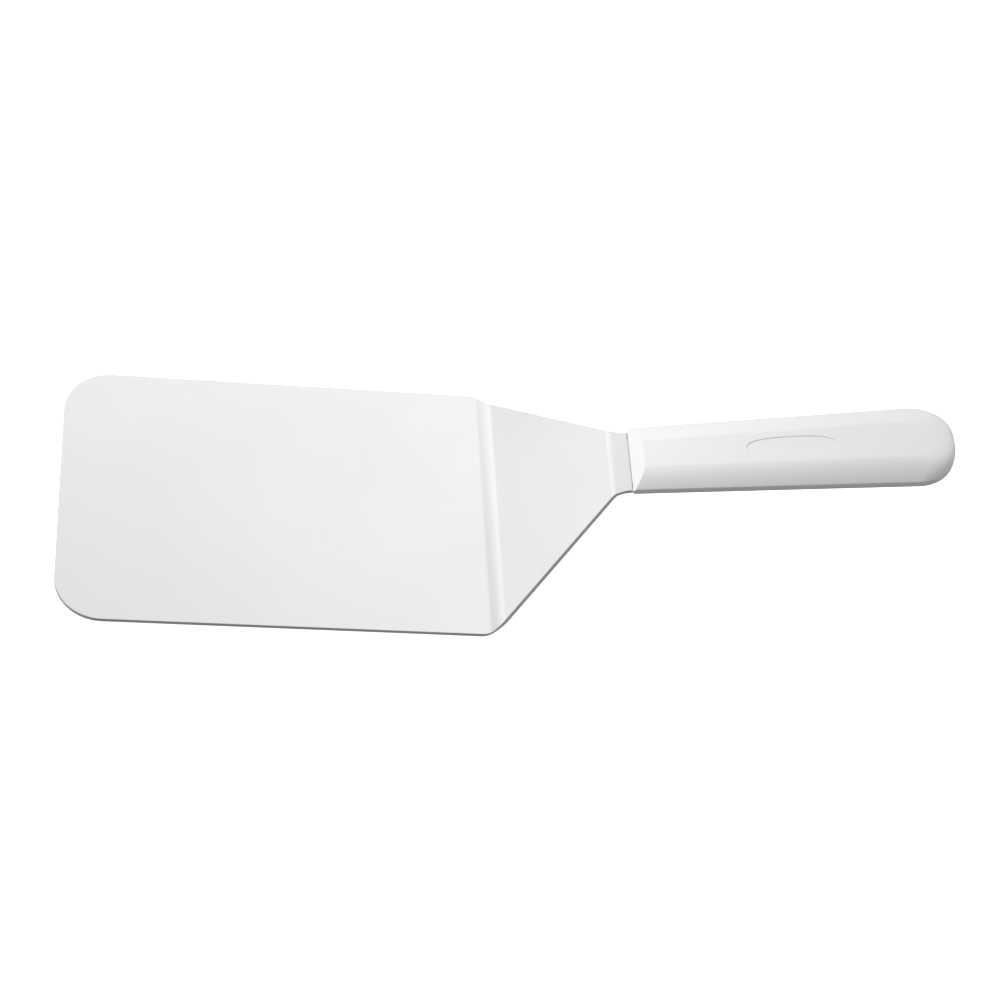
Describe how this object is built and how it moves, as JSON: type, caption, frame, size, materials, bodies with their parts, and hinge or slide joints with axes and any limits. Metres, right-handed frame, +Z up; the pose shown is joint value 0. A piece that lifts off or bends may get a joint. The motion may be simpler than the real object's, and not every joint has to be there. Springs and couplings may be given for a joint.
{
  "type": "offset turner spatula",
  "caption": "Offset kitchen turner: a flat, cranked stainless steel blade that tapers to a neck, with a white plastic handle moulded round its tang.",
  "frame": {"origin": "middle of the whole tool's bounding box in X and Y, level with the underside of the blade's flat", "axes": "+X from the blade's front edge towards the butt of the handle, +Y across the blade, +Z up from the flat that it rests on"},
  "size_m": [0.307, 0.1016, 0.0633],
  "materials": {
    "stainless_steel": "fine satin grind, sheared edges left dull",
    "white_polypropylene": "moulded with a fine matt texture"
  },
  "bodies": {
    "root": {"blade": "stainless_steel", "handle": "white_polypropylene"}
  },
  "joints": []
}
